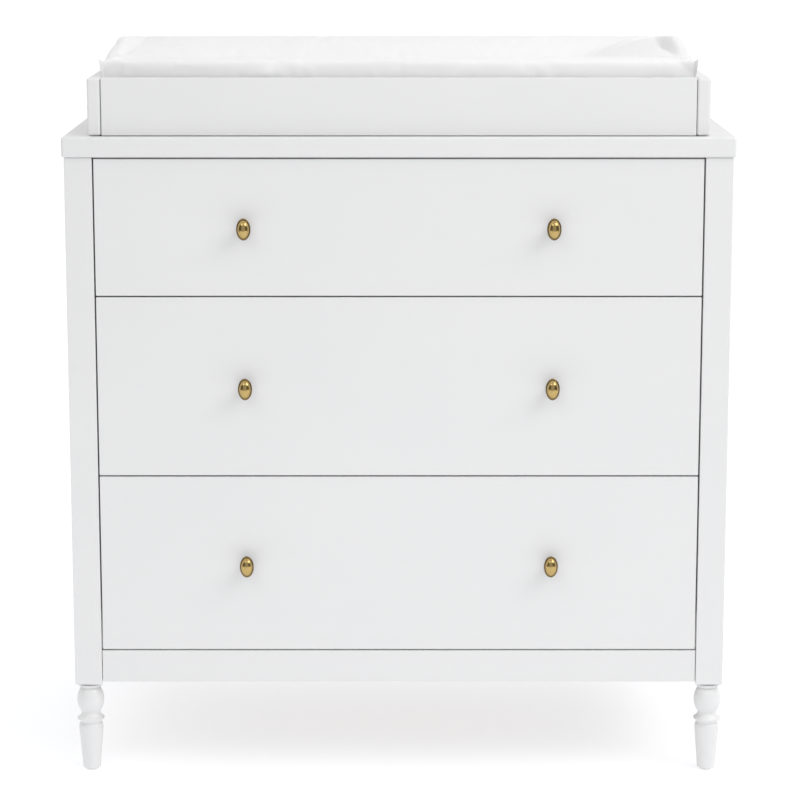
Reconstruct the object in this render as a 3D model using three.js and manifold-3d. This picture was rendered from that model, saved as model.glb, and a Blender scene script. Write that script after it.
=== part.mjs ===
// A three-drawer nursery dresser on turned feet. A changing tray is fixed on its top, and a contoured
// changing pad lies in the tray.
// Millimetres, +Z up. The front faces -Y. The origin is on the floor, under the middle of the overall box.
import * as THREE from "three";
import { mergeVertices } from "three/addons/utils/BufferGeometryUtils.js";
import Module from "manifold-3d";

const wasm = await Module();
wasm.setup();

// ---------------------------------------------------------------- driving dimensions

const gap = 0.3; // between pieces that touch

const topWidth = 920;
const topDepth = 488;
const topThickness = 28;
const topHeight = 904; // floor to the upper face of the top
const topOverhang = 4; // past the posts, at the front and the back

const caseWidth = 914;
const caseDepth = topDepth - 2 * topOverhang;
const caseTop = topHeight - topThickness;
const postWidth = 38;
const postBottom = 129;
const openingWidth = caseWidth - 2 * postWidth;
const panelThickness = 18;
const railHeight = 46;
const railBottom = postBottom + 4;
const railSetBack = 2;
const railJoint = 0.7; // shadow gap between a rail's end and the post

const backSheet = 3;
const backSheetSetIn = 21; // case back to the outer face of the back sheet
const backGrooveDepth = 7;

const footGap = 0.9; // shadow gap between a foot's flange and its post
const studRadius = 4;
const studLength = 24;
const studHoleRadius = 4.6;
const studHoleDepth = 28;

const frontGap = 2; // around each drawer front
const frontSetBack = 1;
const frontThickness = 18;
const frontHeights = { top: 189, middle: 251, bottom: 249 };
const boxHeights = { top: 140, middle: 200, bottom: 200 };
const boxLift = 14; // drawer front's lower edge to the box sides' lower edge
const boxDepth = 420;
const boxBoard = 12;
const boxBottomSheet = 4;
const boxGrooveLift = 8;
const boxGrooveDepth = 6;

const knobSpacing = 424;
const knobReach = 27;
const knobHeight = 30.4;
const knobWidth = 19.6;
const knobScrewRadius = 2;
const knobScrewEnd = 2; // past the drawer front's inner face
const knobHoleRadius = 2.6;

const slideSpace = 13; // case opening to drawer box, each side
const slideLength = 400;
const slideSetBack = 2; // behind the drawer front
const slideLift = 60; // box sides' lower edge to the middle of the slide
const slideSteel = 1.2;
// Each member is a channel. Its web and the ends of its lips are measured from the case opening.
const slideMembers = {
  case: { webAt: gap, lipsTo: 9.6, halfHeight: 22.5 },
  middle: { webAt: 2.6, lipsTo: 10.6, halfHeight: 17.2 },
  drawer: { webAt: slideSpace - gap, lipsTo: 5.2, halfHeight: 12 },
};

const trayWidth = 850;
const trayHeight = 79;
const trayBoard = 18;
const traySetBack = 14; // top's front edge to the tray's front
const trayLift = 0.9; // shadow gap between the top and the tray
const trayJoint = 0.9; // shadow gap between a side board and the front or back board
const trayFrontSetBack = 0.5; // side boards' front ends to the front board's face

const plateWidth = 32;
const plateHeight = 66;
const plateThickness = 2;
const plateCorner = 5;
const plateSpacing = 560;
const plateBelowTop = 18; // how far a plate reaches down over the top's back edge
const plateHoleRadius = 2.4;
const plateHoleInset = 8;

const padLength = 812;
const padDepth = 420;
const padFrontHeight = 106;
const padBackHeight = 112;
const padPeakHeight = 123; // the end walls rise to a peak between the front and the back
const padCorner = 22;
const padFloor = 50; // foam thickness in the middle of the dish
const padRim = 24; // width of the crest
const padSlope = 96; // how far the dish's long walls run in, from the crest to its floor
const padEndSlope = 200; // the same for its end walls
const padFloorCorner = 24;

// ---------------------------------------------------------------- places worked out from them

const overallDepth = knobReach - frontSetBack + caseDepth + topOverhang + plateThickness;
const caseFront = -overallDepth / 2 + knobReach - frontSetBack;
const caseBack = caseFront + caseDepth;
const topFront = caseFront - topOverhang;
const topBack = caseBack + topOverhang;
const frontFace = caseFront + frontSetBack;
const boxFront = frontFace + frontThickness;
const postX = caseWidth / 2 - postWidth / 2;
const openingX = openingWidth / 2;
const boxX = openingX - slideSpace;
const sheetOuter = caseBack - backSheetSetIn;
const sheetInner = sheetOuter - backSheet;

// ---------------------------------------------------------------- materials

function material(color, roughness, metalness) {
  return new THREE.MeshStandardMaterial({ color, roughness, metalness });
}

const whitePaint = material(0xf2f2f1, 0.45, 0);
const drawerLining = material(0xeeedea, 0.6, 0);
const brass = material(0xb08d45, 0.3, 1);
const zincSteel = material(0xb9bcc0, 0.4, 1);
const padCover = material(0xf6f6f5, 0.55, 0);

// ---------------------------------------------------------------- making solids

// A closed geometry as a solid that can be cut and joined.
function solidOf(geometry) {
  const bare = geometry.clone().deleteAttribute("normal").deleteAttribute("uv");
  const merged = mergeVertices(bare, 1e-3);
  return new wasm.Manifold(
    new wasm.Mesh({
      numProp: 3,
      vertProperties: merged.attributes.position.array,
      triVerts: new Uint32Array(merged.index.array),
    }),
  );
}

function geometryOf(solid) {
  const mesh = solid.getMesh();
  const geometry = new THREE.BufferGeometry()
    .setAttribute("position", new THREE.BufferAttribute(mesh.vertProperties, 3))
    .setIndex(new THREE.BufferAttribute(mesh.triVerts, 1))
    .toNonIndexed();
  geometry.computeVertexNormals();
  return geometry;
}

const cut = (geometry, ...tools) =>
  geometryOf(tools.reduce((solid, tool) => solid.subtract(solidOf(tool)), solidOf(geometry)));
const join = (geometry, ...others) =>
  geometryOf(others.reduce((solid, other) => solid.add(solidOf(other)), solidOf(geometry)));
const overlap = (geometry, other) => geometryOf(solidOf(geometry).intersect(solidOf(other)));

// A block between two values on each axis.
function block([x0, x1], [y0, y1], [z0, z1]) {
  const geometry = new THREE.BoxGeometry(x1 - x0, y1 - y0, z1 - z0);
  return geometry.translate((x0 + x1) / 2, (y0 + y1) / 2, (z0 + z1) / 2);
}

// A round bar along Y or Z, about its centre.
function bar(axis, radius, centre, length, segments = 12) {
  const geometry = new THREE.CylinderGeometry(radius, radius, length, segments);
  if (axis === "z") geometry.rotateX(Math.PI / 2);
  return geometry.translate(...centre);
}

function outline(points) {
  return new THREE.Shape(points.map(([x, y]) => new THREE.Vector2(x, y)));
}

// An outline in XY, raised along Z.
function raise(shape, z0, z1) {
  const geometry = new THREE.ExtrudeGeometry(shape, { depth: z1 - z0, bevelEnabled: false });
  return geometry.translate(0, 0, z0);
}

// An outline in XZ, run back along +Y.
function run(shape, y0, y1) {
  const geometry = new THREE.ExtrudeGeometry(shape, { depth: y1 - y0, bevelEnabled: false });
  return geometry.rotateX(Math.PI / 2).translate(0, y1, 0);
}

function roundedRectangle(width, depth, radius) {
  const [x, y] = [width / 2 - radius, depth / 2 - radius];
  const shape = new THREE.Shape();
  shape.absarc(x, y, radius, 0, Math.PI / 2);
  shape.absarc(-x, y, radius, Math.PI / 2, Math.PI);
  shape.absarc(-x, -y, radius, Math.PI, 1.5 * Math.PI);
  shape.absarc(x, -y, radius, 1.5 * Math.PI, 2 * Math.PI);
  return shape;
}

const table = new THREE.Group();

function add(name, geometry, finish) {
  const mesh = new THREE.Mesh(geometry, finish);
  mesh.name = name;
  table.add(mesh);
  return mesh;
}

const sides = { left: -1, right: 1 };

// ---------------------------------------------------------------- case

// The span between a near and a far distance from the middle, on one side.
const span = (side, near, far) => (side < 0 ? [-far, -near] : [near, far]);

function addTop() {
  const half = topWidth / 2;
  add("top_board", block([-half, half], [topFront, topBack], [caseTop, topHeight]), whitePaint);
}

// A square post. The back ones have a groove in the inner face for the back sheet.
function post(side, row) {
  const [inner, outer] = [side * openingX, side * (openingX + postWidth)];
  const floor = side * (openingX + backGrooveDepth);
  const top = caseTop - gap;
  const [y0, y1] = row === "front" ? [caseFront, caseFront + postWidth] : [caseBack - postWidth, caseBack];
  const groove = [
    [inner, sheetOuter + gap],
    [floor, sheetOuter + gap],
    [floor, sheetInner - gap],
    [inner, sheetInner - gap],
  ];
  const corners = [
    [inner, y0],
    [outer, y0],
    [outer, y1],
    [inner, y1],
    ...(row === "back" ? groove : []),
  ];
  const studHole = bar("z", studHoleRadius, [side * postX, (y0 + y1) / 2, postBottom], 2 * studHoleDepth);
  return cut(raise(outline(corners), postBottom, top), studHole);
}

// The turned foot, from the toe up: taper, shoulder, ring, ball, collar, flange and the stud in its top.
function foot() {
  const ball = { radius: 30, centre: -10.9, height: 103.4, from: -36.9, to: 34.5 };
  const degrees = THREE.MathUtils.degToRad;
  const profile = new THREE.Path();
  profile.moveTo(0, 0);
  profile.lineTo(10.5, 0);
  profile.quadraticCurveTo(12.4, 0.2, 12.7, 3.5);
  profile.lineTo(17.2, 62);
  profile.quadraticCurveTo(17.6, 67.2, 14.9, 68.4);
  profile.lineTo(14.7, 70);
  profile.quadraticCurveTo(16.8, 71, 19, 74.4);
  profile.lineTo(19, 76.6);
  profile.quadraticCurveTo(14.8, 78.8, 13.2, 83.2);
  profile.absarc(ball.centre, ball.height, ball.radius, degrees(ball.from), degrees(ball.to));
  profile.lineTo(14.3, 121.6);
  profile.lineTo(14.3, 125);
  profile.quadraticCurveTo(14.8, 127.4, 17.4, 127.8);
  profile.lineTo(17.4, postBottom - footGap);
  profile.lineTo(studRadius, postBottom - footGap);
  profile.lineTo(studRadius, postBottom + studLength);
  profile.lineTo(0, postBottom + studLength);
  return new THREE.LatheGeometry(profile.getPoints(4), 16).rotateX(Math.PI / 2);
}

function addPostsAndFeet() {
  const rows = { front: caseFront + postWidth / 2, back: caseBack - postWidth / 2 };
  for (const [row, y] of Object.entries(rows)) {
    for (const [word, side] of Object.entries(sides)) {
      add(`post_${row}_${word}`, post(side, row), whitePaint);
      add(`turned_foot_${row}_${word}`, foot(), whitePaint).position.set(side * postX, y, 0);
    }
  }
}

function addPanelsAndRails() {
  const behindFrontPost = caseFront + postWidth + gap;
  const beforeBackPost = caseBack - postWidth - gap;
  for (const [word, side] of Object.entries(sides)) {
    const x = span(side, openingX, openingX + panelThickness);
    add(
      `side_panel_${word}`,
      block(x, [behindFrontPost, beforeBackPost], [railBottom, caseTop - gap]),
      whitePaint,
    );
  }
  const railX = [-openingX + railJoint, openingX - railJoint];
  const railZ = [railBottom, railBottom + railHeight];
  const frontRail = caseFront + railSetBack;
  const backRail = caseBack - railSetBack;
  add("bottom_rail_front", block(railX, [frontRail, frontRail + panelThickness], railZ), whitePaint);
  add("bottom_rail_back", block(railX, [sheetOuter + gap, backRail], railZ), whitePaint);
  const sheetX = openingX + backGrooveDepth - 2 * gap;
  const sheetZ = [railBottom + railHeight / 4, caseTop - gap];
  add("back_sheet", block([-sheetX, sheetX], [sheetInner, sheetOuter], sheetZ), whitePaint);
}

// ---------------------------------------------------------------- drawers

// An oval head on a round stem, with the screw that holds it. It stands on the plane y = 0, reaches towards
// -Y, and its screw goes through the drawer front.
function knob() {
  const stem = new THREE.Path();
  stem.moveTo(0, -gap);
  stem.lineTo(6, -gap);
  stem.lineTo(6, -1.5);
  stem.quadraticCurveTo(3.4, -3, 3.6, -9);
  stem.lineTo(5, -16);
  stem.lineTo(0, -16);
  const head = new THREE.Path();
  head.moveTo(0, -13);
  head.lineTo(8, -13);
  head.quadraticCurveTo(14.4, -15, knobHeight / 2, -18);
  head.quadraticCurveTo(15, -19.6, 14, -20);
  head.quadraticCurveTo(9.6, -knobReach, 0, -knobReach);
  const turned = (path, curveSteps) => new THREE.LatheGeometry(path.getPoints(curveSteps).reverse(), 16);
  const screwStart = -knobScrewRadius;
  const screwLength = frontThickness + knobScrewEnd - screwStart;
  const screw = bar("y", knobScrewRadius, [0, screwStart + screwLength / 2, 0], screwLength);
  return join(turned(head, 3).scale(knobWidth / knobHeight, 1, 1), turned(stem, 2), screw);
}

// A drawer's front has a groove for the bottom sheet and two holes for the knob screws.
function drawerFront(z0, z1, sheetZ) {
  const half = openingX - frontGap;
  const grooveX = boxX - boxBoard + boxGrooveDepth;
  const groove = block(
    [-grooveX, grooveX],
    [boxFront - boxGrooveDepth, boxFront + 1],
    [sheetZ - gap, sheetZ + boxBottomSheet + gap],
  );
  const holes = Object.values(sides).map((side) => {
    const centre = [(side * knobSpacing) / 2, frontFace + frontThickness / 2, (z0 + z1) / 2];
    return bar("y", knobHoleRadius, centre, 2 * frontThickness, 8);
  });
  return cut(block([-half, half], [frontFace, boxFront], [z0, z1]), groove, ...holes);
}

// A drawer side is a board with a groove along its inner face.
function drawerSide(side, z0, z1, sheetZ) {
  const [outer, inner] = [side * boxX, side * (boxX - boxBoard)];
  const floor = side * (boxX - boxBoard + boxGrooveDepth);
  const shape = outline([
    [outer, z0],
    [outer, z1],
    [inner, z1],
    [inner, sheetZ + boxBottomSheet + gap],
    [floor, sheetZ + boxBottomSheet + gap],
    [floor, sheetZ - gap],
    [inner, sheetZ - gap],
    [inner, z0],
  ]);
  return run(shape, boxFront + gap, boxFront + boxDepth);
}

function addDrawer(name, frontBottom) {
  const frontTop = frontBottom + frontHeights[name];
  const boxBottom = frontBottom + boxLift;
  const boxTop = boxBottom + boxHeights[name];
  const sheetZ = boxBottom + boxGrooveLift;
  const innerX = boxX - boxBoard;
  const boxBack = boxFront + boxDepth;
  add(`drawer_${name}_front`, drawerFront(frontBottom, frontTop, sheetZ), whitePaint);
  for (const [word, side] of Object.entries(sides)) {
    add(`drawer_${name}_side_${word}`, drawerSide(side, boxBottom, boxTop, sheetZ), drawerLining);
    const handle = add(`drawer_${name}_knob_${word}`, knob(), brass);
    handle.position.set((side * knobSpacing) / 2, frontFace, (frontBottom + frontTop) / 2);
  }
  add(
    `drawer_${name}_back`,
    block(
      [-innerX + gap, innerX - gap],
      [boxBack - boxBoard, boxBack],
      [sheetZ + boxBottomSheet + gap, boxTop],
    ),
    drawerLining,
  );
  const sheetX = innerX + boxGrooveDepth - gap;
  add(
    `drawer_${name}_bottom`,
    block([-sheetX, sheetX], [boxFront - boxGrooveDepth + gap, boxBack], [sheetZ, sheetZ + boxBottomSheet]),
    drawerLining,
  );
  addSlides(name, boxBottom + slideLift);
}

// ---------------------------------------------------------------- drawer slides

// A steel channel's section: its web stands at a distance from the case wall, and its lips reach to another.
function channel(side, webAt, lipsTo, halfHeight, middle) {
  const away = Math.sign(lipsTo - webAt);
  const fromWall = ([u, v]) => [side * (openingX - u), middle + v];
  return outline(
    [
      [webAt, -halfHeight],
      [lipsTo, -halfHeight],
      [lipsTo, -halfHeight + slideSteel],
      [webAt + away * slideSteel, -halfHeight + slideSteel],
      [webAt + away * slideSteel, halfHeight - slideSteel],
      [lipsTo, halfHeight - slideSteel],
      [lipsTo, halfHeight],
      [webAt, halfHeight],
    ].map(fromWall),
  );
}

// Each slide has a member on the case, one on the drawer, and one between them that moves half as far.
function addSlides(name, middle) {
  const start = boxFront + slideSetBack;
  for (const [word, side] of Object.entries(sides)) {
    for (const [member, { webAt, lipsTo, halfHeight }] of Object.entries(slideMembers)) {
      const section = channel(side, webAt, lipsTo, halfHeight, middle);
      add(`slide_${name}_${member}_${word}`, run(section, start, start + slideLength), zincSteel);
    }
  }
}

// ---------------------------------------------------------------- changing tray and pad

const trayX = trayWidth / 2;
const trayFront = topFront + traySetBack;
const trayInnerX = trayX - trayBoard;
const trayInnerY = [trayFront + trayBoard, topBack - trayBoard];

function addTray() {
  const z = [topHeight + trayLift, topHeight + trayHeight];
  for (const [word, side] of Object.entries(sides)) {
    add(`tray_side_${word}`, block(span(side, trayInnerX, trayX), [trayFront, topBack], z), whitePaint);
  }
  const across = [-trayInnerX + trayJoint, trayInnerX - trayJoint];
  add("tray_front", block(across, [trayFront + trayFrontSetBack, trayInnerY[0]], z), whitePaint);
  add("tray_back", block(across, [trayInnerY[1], topBack], z), whitePaint);
}

// A flat steel plate with two screw holes, screwed to the tray's back board and to the back edge of the top.
function addTrayPlates() {
  const middle = topHeight - plateBelowTop + plateHeight / 2;
  const shape = roundedRectangle(plateWidth, plateHeight, plateCorner);
  for (const v of [-1, 1]) {
    const holeAt = v * (plateHeight / 2 - plateHoleInset);
    shape.holes.push(new THREE.Path().absarc(0, holeAt, plateHoleRadius, 0, 2 * Math.PI));
  }
  const options = { depth: plateThickness - gap, bevelEnabled: false, curveSegments: 4 };
  for (const [word, side] of Object.entries(sides)) {
    const geometry = new THREE.ExtrudeGeometry(shape, options).rotateX(-Math.PI / 2);
    const plate = add(`tray_plate_${word}`, geometry, zincSteel);
    plate.position.set((side * plateSpacing) / 2, topBack + gap, middle);
  }
}

// The pad's outer form: its upper face rises from the front to a peak, and falls a little to the back.
function padBlock() {
  const shape = outline([
    [-padDepth / 2, 0],
    [padDepth / 2, 0],
    [padDepth / 2, padBackHeight - gap],
    [0, padPeakHeight - gap],
    [-padDepth / 2, padFrontHeight - gap],
  ]);
  const geometry = new THREE.ExtrudeGeometry(shape, { depth: padLength, bevelEnabled: false });
  const endOn = geometry.translate(0, 0, -padLength / 2).rotateY(Math.PI / 2).rotateX(Math.PI / 2);
  const options = { depth: padPeakHeight, bevelEnabled: false, curveSegments: 5 };
  const plan = new THREE.ExtrudeGeometry(roundedRectangle(padLength, padDepth, padCorner), options);
  return overlap(plan, endOn);
}

// A foam pad with raised walls round a dish.
function pad() {
  const stretch = padEndSlope / padSlope;
  const floorX = (padLength - 2 * (padEndSlope + padRim)) / stretch;
  const floorY = padDepth - 2 * (padSlope + padRim);
  const dish = new THREE.ExtrudeGeometry(roundedRectangle(floorX, floorY, padFloorCorner), {
    depth: padPeakHeight,
    bevelThickness: padFrontHeight - padFloor,
    bevelSize: padSlope,
    bevelSegments: 1,
    curveSegments: 5,
  });
  return cut(padBlock(), dish.scale(stretch, 1, 1).translate(0, 0, padFrontHeight));
}

function addPad() {
  const middle = (trayInnerY[0] + trayInnerY[1]) / 2;
  add("changing_pad", pad(), padCover).position.set(0, middle, topHeight + gap);
}

// ---------------------------------------------------------------- assembly

addTop();
addPostsAndFeet();
addPanelsAndRails();
let frontBottom = railBottom + railHeight + frontGap;
for (const name of ["bottom", "middle", "top"]) {
  addDrawer(name, frontBottom);
  frontBottom += frontHeights[name] + frontGap;
}
addTray();
addTrayPlates();
addPad();

export default table;
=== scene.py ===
"""The looks of a three-drawer changing table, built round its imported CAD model.

Metres, Z up, the front faces -Y. Sizes are real ones, and places come from the CAD nodes' boxes.
"""

import math
import random

import bmesh
import bpy
import numpy as np
from mathutils import Matrix, Vector, noise


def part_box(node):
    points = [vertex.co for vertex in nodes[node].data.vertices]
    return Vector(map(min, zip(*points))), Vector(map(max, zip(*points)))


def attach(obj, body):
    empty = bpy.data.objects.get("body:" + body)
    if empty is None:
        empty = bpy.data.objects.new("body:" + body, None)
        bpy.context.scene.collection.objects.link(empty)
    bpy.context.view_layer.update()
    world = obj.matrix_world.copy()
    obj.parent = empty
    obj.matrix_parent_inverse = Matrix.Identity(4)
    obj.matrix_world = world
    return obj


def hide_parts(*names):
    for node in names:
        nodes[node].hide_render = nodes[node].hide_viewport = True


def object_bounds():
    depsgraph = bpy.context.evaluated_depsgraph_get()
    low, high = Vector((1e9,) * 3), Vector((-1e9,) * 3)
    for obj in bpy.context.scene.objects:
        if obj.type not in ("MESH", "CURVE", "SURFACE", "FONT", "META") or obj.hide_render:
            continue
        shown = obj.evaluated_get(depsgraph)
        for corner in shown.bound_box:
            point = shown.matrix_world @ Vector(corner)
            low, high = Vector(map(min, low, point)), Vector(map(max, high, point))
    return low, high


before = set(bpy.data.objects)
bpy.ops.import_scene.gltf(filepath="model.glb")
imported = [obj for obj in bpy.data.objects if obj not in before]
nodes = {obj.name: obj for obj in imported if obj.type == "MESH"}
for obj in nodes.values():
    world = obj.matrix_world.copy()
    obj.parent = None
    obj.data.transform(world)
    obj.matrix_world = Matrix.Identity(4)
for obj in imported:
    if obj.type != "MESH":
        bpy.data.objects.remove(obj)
cad_low, cad_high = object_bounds()

MM = 0.001
SIDES = {"left": -1, "right": 1}
DRAWERS = ("top", "middle", "bottom")


# ---------------------------------------------------------------- finishes


class Finish:
    """A Principled material, with short ways to add what varies over its surface."""

    def __init__(self, name, slot, **settings):
        self.slot = slot
        self.material = bpy.data.materials.new(name)
        self.material.use_nodes = True
        self.tree = self.material.node_tree
        self.shader = self.tree.nodes["Principled BSDF"]
        self.place = self.node("ShaderNodeTexCoord").outputs["Object"]
        for socket, value in settings.items():
            self.set(socket.replace("_", " "), value)

    def node(self, kind, sockets=(), **settings):
        made = self.tree.nodes.new(kind)
        for name, value in settings.items():
            setattr(made, name, value)
        for key, value in dict(sockets).items():
            self.feed(made.inputs[key], value)
        return made

    def feed(self, socket, value):
        if isinstance(value, bpy.types.NodeSocket):
            self.tree.links.new(value, socket)
        else:
            socket.default_value = value

    def set(self, socket, value):
        self.feed(self.shader.inputs[socket], value)

    def noise(self, scale, stretch=(1, 1, 1), detail=2, roughness=0.5, distortion=0):
        place = self.node("ShaderNodeMapping", {"Vector": self.place, "Scale": stretch}).outputs[0]
        sockets = {"Vector": place, "Scale": scale, "Detail": detail}
        sockets.update({"Roughness": roughness, "Distortion": distortion})
        return self.node("ShaderNodeTexNoise", sockets).outputs["Fac"]

    def spread(self, value, start, end, first, last):
        """The value's stretch from start to end, taken to first and last."""
        sockets = {"Value": value, "From Min": start, "From Max": end, "To Min": first, "To Max": last}
        return self.node("ShaderNodeMapRange", sockets).outputs["Result"]

    def maths(self, operation, a, b=0.0):
        return self.node("ShaderNodeMath", {0: a, 1: b}, operation=operation).outputs[0]

    def mix(self, factor, first, last):
        sockets = {0: factor, 6: first, 7: last}
        return self.node("ShaderNodeMix", sockets, data_type="RGBA").outputs[2]

    def raise_by(self, height, distance, strength=1.0):
        """Adds a bump to those that are there already."""
        sockets = {"Height": height, "Distance": distance, "Strength": strength}
        normal = self.shader.inputs["Normal"]
        if normal.is_linked:
            sockets["Normal"] = normal.links[0].from_socket
        self.set("Normal", self.node("ShaderNodeBump", sockets).outputs["Normal"])

    def give(self, piece):
        """The piece takes this finish."""
        piece.data.materials.clear()
        piece.data.materials.append(self.material)


def white(level, warmth=0.0):
    return (level * (1 + warmth), level, level * (1 - warmth), 1)


def painted_wood():
    """Sprayed satin enamel: even, with a fine orange peel and slightly uneven gloss."""
    paint = Finish("satin_white_paint", "painted_wood", Coat_Weight=0.18, Coat_Roughness=0.22)
    cloud = paint.noise(5, detail=4, roughness=0.6)
    paint.set("Base Color", paint.mix(cloud, white(0.775, -0.002), white(0.8, 0.002)))
    paint.set("Roughness", paint.spread(paint.noise(14, detail=5), 0.3, 0.7, 0.34, 0.44))
    paint.raise_by(paint.noise(330, detail=3, roughness=0.55), 0.05 * MM, 0.5)
    paint.raise_by(paint.noise(40, detail=2), 0.12 * MM, 0.25)
    return paint


def drawer_board():
    """White laminated board with a faint pressed wood grain along the drawer's sides."""
    board = Finish("laminated_board", "drawer_board")
    grain = board.noise(260, stretch=(1, 0.05, 1), detail=5, roughness=0.65, distortion=0.4)
    pores = board.spread(grain, 0.35, 0.62, 0, 1)
    board.set("Base Color", board.mix(pores, white(0.70, 0.015), white(0.76, 0.008)))
    board.set("Roughness", board.spread(grain, 0.3, 0.7, 0.56, 0.44))
    board.raise_by(pores, 0.08 * MM, 0.6)
    return board


def hardboard():
    """Pressed fibre board: white foil on the faces that are looked at, bare brown fibre on the others.

    The upper side of a drawer's bottom and the front of the back sheet have the foil.
    """
    board = Finish("foiled_hardboard", "hardboard")
    facing = board.node("ShaderNodeSeparateXYZ", {0: board.node("ShaderNodeTexCoord").outputs["Normal"]})
    foiled = board.maths("GREATER_THAN", board.maths("SUBTRACT", facing.outputs[2], facing.outputs[1]), 0.5)
    fibre = board.noise(420, detail=6, roughness=0.75)
    flakes = board.noise(90, stretch=(1, 1, 0.35), detail=4, roughness=0.7, distortion=1.2)
    tone = board.maths("MULTIPLY_ADD", fibre, 0.6)
    board.feed(tone.node.inputs[2], board.maths("MULTIPLY", flakes, 0.4))
    brown = board.mix(board.spread(tone, 0.35, 0.65, 0, 1), (0.27, 0.215, 0.165, 1), (0.42, 0.35, 0.285, 1))
    foil = board.mix(fibre, white(0.72, 0.01), white(0.76, 0.01))
    board.set("Base Color", board.mix(foiled, brown, foil))
    board.set("Roughness", board.spread(foiled, 0, 1, 0.82, 0.5))
    board.raise_by(fibre, 0.12 * MM, 0.7)
    return board


def polished_brass():
    """Polished brass with painted shade along its rim and on the back of its head and its stem, random darker
    tarnish stains, and fine rubbing marks.
    """
    brass = Finish("aged_brass_with_painted_shade", "brass", Metallic=1.0)
    x, y, z = brass.node("ShaderNodeSeparateXYZ", {0: brass.place}).outputs
    across = brass.maths("DIVIDE", x, KNOB_OVAL)
    out = brass.maths("SQRT", brass.maths("ADD", brass.maths("POWER", across, 2), brass.maths("POWER", z, 2)))
    # Painted shade: the rim, and the back of the head and the stem next to the drawer front, are darker and
    # rougher. The noise stains are tarnish.
    rim = brass.spread(out, 0.84 * KNOB_HEIGHT / 2, 0.95 * KNOB_HEIGHT / 2, 0, 1)
    behind = brass.spread(y, -20 * MM, -17 * MM, 0, 1)
    stain = brass.spread(brass.noise(240, detail=5, roughness=0.7), 0.4, 0.75, 0, 0.35)
    dark = brass.maths("MAXIMUM", brass.maths("MAXIMUM", rim, behind), stain)
    brass.set("Base Color", brass.mix(dark, (0.555, 0.398, 0.15, 1), (0.25, 0.205, 0.125, 1)))
    brass.set("Roughness", brass.spread(dark, 0, 1, 0.14, 0.38))
    brass.raise_by(brass.noise(700, stretch=(1, 1, 0.2), detail=3), 0.02 * MM, 0.5)
    brass.raise_by(brass.noise(120, detail=2), 0.12 * MM, 0.5)
    return brass


def zinc_steel():
    """Rolled steel with bright zinc, drawn along the slides."""
    zinc = Finish("zinc_plated_steel", "zinc_steel", Metallic=1.0)
    streaks = zinc.noise(700, stretch=(1, 0.03, 1), detail=4, roughness=0.7)
    bloom = zinc.noise(35, detail=3)
    zinc.set("Base Color", zinc.mix(bloom, (0.56, 0.59, 0.62, 1), (0.68, 0.68, 0.66, 1)))
    zinc.set("Roughness", zinc.spread(streaks, 0.3, 0.7, 0.24, 0.42))
    zinc.raise_by(streaks, 0.03 * MM, 0.5)
    return zinc


def nylon():
    glide = Finish("white_nylon", "nylon", Subsurface_Weight=0.1, Subsurface_Scale=2 * MM)
    glide.set("Base Color", glide.mix(glide.noise(60), white(0.62, 0.01), white(0.68, 0.01)))
    glide.set("Roughness", glide.spread(glide.noise(300, detail=3), 0.3, 0.7, 0.42, 0.55))
    glide.raise_by(glide.noise(900, detail=2), 0.04 * MM, 0.5)
    return glide


def pad_cover(thread=0.75 * MM):
    """Fine plain-woven cover cloth: its warp and weft follow the sewn panels' own flat measure."""
    cover = Finish("woven_pad_cover", "pad_cover", Sheen_Weight=0.25, Sheen_Roughness=0.45)
    flat = cover.node("ShaderNodeUVMap", uv_map="panel").outputs[0]
    along = 2 * math.pi / (20 * thread)
    bands = {}
    for direction in ("X", "Y"):
        sockets = {"Vector": flat, "Scale": along, "Distortion": 0.6, "Detail": 1, "Detail Scale": 0.4}
        wave = cover.node("ShaderNodeTexWave", sockets, wave_type="BANDS", bands_direction=direction)
        bands[direction] = wave.outputs["Fac"]
    weave = cover.maths("MAXIMUM", bands["X"], bands["Y"])
    slub = cover.noise(26, detail=4, roughness=0.6)
    tone = cover.mix(slub, white(0.86, 0.001), white(0.89, 0.0))
    # Painted shade: the weave's low parts, between the threads, are darker.
    cover.set("Base Color", cover.mix(cover.spread(weave, 0, 1, 0.35, 0), tone, white(0.76)))
    cover.set("Roughness", cover.spread(weave, 0, 1, 0.72, 0.56))
    cover.raise_by(weave, 0.12 * MM, 0.5)
    cover.raise_by(cover.noise(180, detail=3), 0.15 * MM, 0.25)
    return cover


# ---------------------------------------------------------------- making meshes


def rest_on(piece, body, finish):
    """The piece gets its finish and rides on its body."""
    finish.give(piece)
    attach(piece, body)


def new_piece(name, data, place=(0, 0, 0)):
    piece = bpy.data.objects.new(name, data)
    bpy.context.scene.collection.objects.link(piece)
    piece.location = place
    return piece


def mesh_of(name, points, faces, smooth=True):
    mesh = bpy.data.meshes.new(name)
    mesh.from_pydata(points, [], faces)
    mesh.update()
    if smooth:
        mesh.shade_smooth()
    return mesh


def path(start, *steps, pieces=8):
    """Points along an outline. A step of one point is a line, and of two is a curve pulled by the first."""
    points = [Vector(start)]
    for step in steps:
        begin = points[-1].copy()
        if len(step) == 1:
            points.append(Vector(step[0]))
            continue
        pull, end = Vector(step[0]), Vector(step[1])
        for i in range(1, pieces + 1):
            t = i / pieces
            points.append((1 - t) ** 2 * begin + 2 * t * (1 - t) * pull + t * t * end)
    return points


def arc(centre, radius, start, end, pieces=16):
    """Points on an arc, from one angle to another, in degrees."""
    angles = (math.radians(start + (end - start) * i / pieces) for i in range(pieces + 1))
    return [Vector((centre[0] + radius * math.cos(a), centre[1] + radius * math.sin(a))) for a in angles]


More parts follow.
